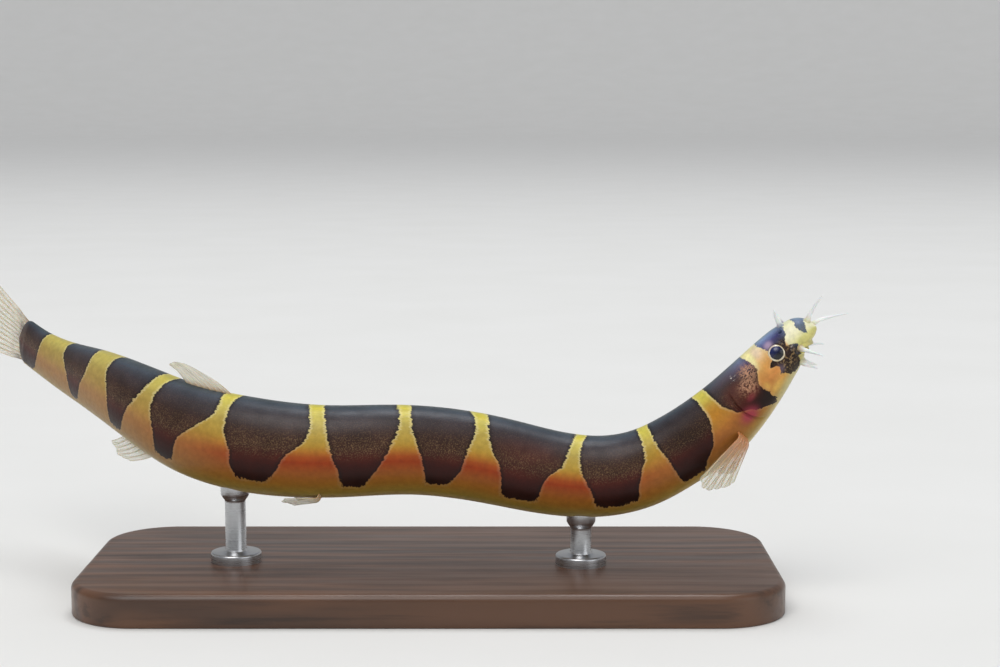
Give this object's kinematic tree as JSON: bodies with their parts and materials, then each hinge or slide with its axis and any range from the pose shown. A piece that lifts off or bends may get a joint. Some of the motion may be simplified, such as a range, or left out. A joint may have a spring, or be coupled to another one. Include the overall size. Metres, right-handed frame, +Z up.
{
  "type": "kuhli loach display model",
  "caption": "Slender banded eel-like loach with short snout barbels and small fins, raised head and tail, held over a flat base by short rods.",
  "frame": {"origin": "centre of the flat underside of the stand's base", "axes": "+X along the base, towards the fish's head; +Z up, away from the surface that the base rests on; +Y towards the fish's left side"},
  "size_m": [0.0818, 0.037, 0.0266],
  "materials": {
    "skin": "wet-looking painted skin: very dark brown bands between golden and salmon gaps, paler belly",
    "fin": "thin cloudy whitish membrane with fine rays",
    "barbel": "smooth whitish, faintly translucent",
    "eye": "polished black with a thin cream ring",
    "base": "dark walnut, satin",
    "rod": "fine brushed"
  },
  "bodies": {
    "root": {"head": "skin", "body_front": "skin", "body_mid": "skin", "body_rear": "skin", "tail": "skin", "dorsal_fin": "fin", "anal_fin": "fin", "caudal_fin": "fin", "pectoral_fin_right": "fin", "pectoral_fin_left": "fin", "pelvic_fin_right": "fin", "pelvic_fin_left": "fin", "eye_right": "eye", "eye_left": "eye", "rostral_barbel_right": "barbel", "rostral_barbel_left": "barbel", "maxillary_barbel_right": "barbel", "maxillary_barbel_left": "barbel", "mandibular_barbel_right": "barbel", "mandibular_barbel_left": "barbel", "nasal_barbel_right": "barbel", "nasal_barbel_left": "barbel", "stand_base": "base", "stand_rod_front": "rod", "stand_rod_rear": "rod"}
  },
  "joints": []
}
